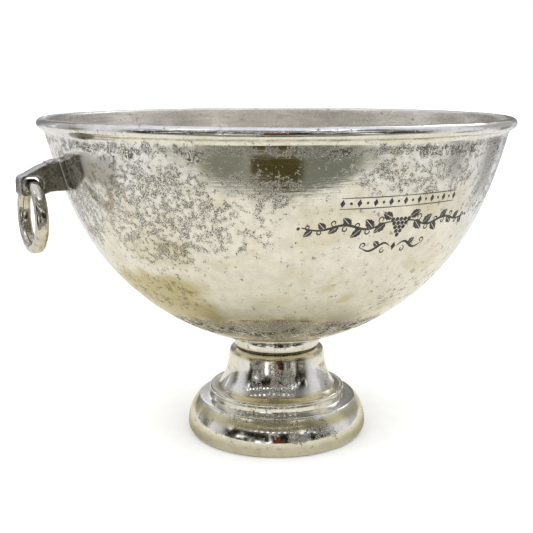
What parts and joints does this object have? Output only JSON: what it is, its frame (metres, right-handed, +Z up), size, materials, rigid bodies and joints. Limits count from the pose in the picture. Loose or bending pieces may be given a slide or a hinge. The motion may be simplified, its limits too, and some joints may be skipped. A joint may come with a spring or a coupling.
{
  "type": "champagne bowl",
  "caption": "Footed round champagne bucket: deep open metal bowl with a beaded rim on a turned pedestal foot, carried by hanging ring handles.",
  "frame": {"origin": "centre of the foot's underside, on the surface it stands on", "axes": "+Z up along the bowl's axis, X through the two handles, -Y the front that carries the ornament"},
  "size_m": [0.4476, 0.4, 0.28],
  "materials": {
    "bowl_metal": "nickel-plated casting, satin with pitted patches",
    "foot_metal": "nickel-plated casting, polished",
    "bracket_metal": "nickel-plated casting, rough sides",
    "ring_metal": "nickel-plated casting, polished",
    "bolt_steel": "zinc-plated",
    "washer_steel": "zinc-plated",
    "screw_steel": "nickel-plated",
    "seal_rubber": "matte"
  },
  "bodies": {
    "vessel": {"bowl": "bowl_metal", "foot": "foot_metal", "foot_bolt": "bolt_steel", "foot_plate_washer": "washer_steel", "foot_spring_washer": "washer_steel", "handle_bracket_right": "bracket_metal", "handle_bracket_left": "bracket_metal", "bracket_screws_right": "screw_steel", "bracket_screws_left": "screw_steel", "bracket_seals_right": "seal_rubber", "bracket_seals_left": "seal_rubber"},
    "right_ring": {"handle_ring_right": "ring_metal"},
    "left_ring": {"handle_ring_left": "ring_metal"}
  },
  "joints": [
    {"name": "right_ring_swing", "type": "hinge", "parent": "vessel", "child": "right_ring", "pos_m": [0.2135, 0, 0.2326], "axis": [0, -1, 0], "range_deg": [-47, 190]},
    {"name": "left_ring_swing", "type": "hinge", "parent": "vessel", "child": "left_ring", "pos_m": [-0.2135, 0, 0.2326], "axis": [0, 1, 0], "range_deg": [-47, 190]}
  ]
}
